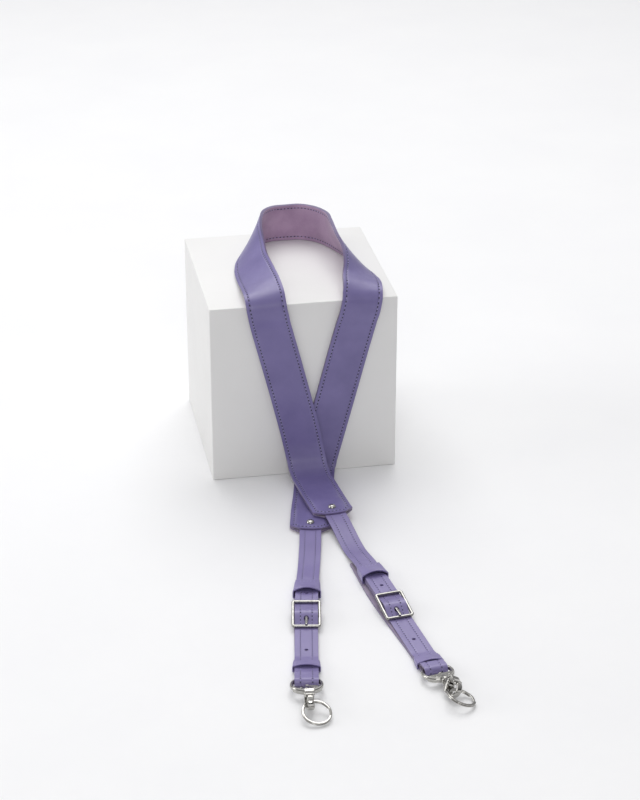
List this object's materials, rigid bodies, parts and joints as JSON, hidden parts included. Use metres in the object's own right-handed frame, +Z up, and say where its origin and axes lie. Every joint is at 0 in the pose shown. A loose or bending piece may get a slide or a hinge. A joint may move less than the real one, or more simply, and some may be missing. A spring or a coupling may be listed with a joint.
{
  "type": "camera strap on a display block",
  "caption": "Leather neck strap with a broad suede-lined band, buckled adjusting straps and swivel snap hooks holding split rings, laid round a plain block.",
  "frame": {"origin": "centre of the display block's base", "axes": "+X to the right of someone facing the block's front, +Y away from them to the block's back, +Z up"},
  "size_m": [0.18, 0.6047, 0.2185],
  "materials": {
    "block_paint": "matte white paint on board",
    "lilac_leather": "smooth lilac leather with a soft sheen",
    "mauve_suede": "mauve suede",
    "nickel": "polished nickel plate"
  },
  "bodies": {
    "strap_and_block": {"display_block": "block_paint", "band_outer": "lilac_leather", "band_lining": "mauve_suede", "rivet_left": "nickel", "connector_strap_left": "lilac_leather", "holed_strap_left": "lilac_leather", "upper_keeper_left": "lilac_leather", "lower_keeper_left": "lilac_leather", "buckle_left": "nickel", "prong_left": "nickel", "eye_left": "nickel", "rivet_right": "nickel", "connector_strap_right": "lilac_leather", "holed_strap_right": "lilac_leather", "upper_keeper_right": "lilac_leather", "lower_keeper_right": "lilac_leather", "buckle_right": "nickel", "prong_right": "nickel", "eye_right": "nickel"},
    "left_hook": {"hook_left": "nickel", "split_ring_left": "nickel"},
    "left_gate": {"gate_left": "nickel"},
    "right_hook": {"hook_right": "nickel", "split_ring_right": "nickel"},
    "right_gate": {"gate_right": "nickel"}
  },
  "joints": [
    {"name": "swivel_left", "type": "hinge", "parent": "strap_and_block", "child": "left_hook", "pos_m": [-0.06486, -0.4625, 0.0067], "axis": [-0.0862, -0.981, 0.1736], "continuous": true},
    {"name": "gate_left", "type": "hinge", "parent": "left_hook", "child": "left_gate", "pos_m": [-0.0668, -0.48452, 0.01324], "axis": [0.9962, -0.0875, 0], "range_deg": [0, 25], "stiffness_Nm_per_rad": 0.02, "springref_deg": -17.19},
    {"name": "swivel_right", "type": "hinge", "parent": "strap_and_block", "child": "right_hook", "pos_m": [0.04473, -0.46317, 0.00599], "axis": [0.211, -0.9699, 0.1219], "continuous": true},
    {"name": "gate_right", "type": "hinge", "parent": "right_hook", "child": "right_gate", "pos_m": [0.05078, -0.48484, 0.01102], "axis": [0.8592, 0.1246, -0.4963], "range_deg": [0, 20], "stiffness_Nm_per_rad": 0.02, "springref_deg": -17.19}
  ]
}
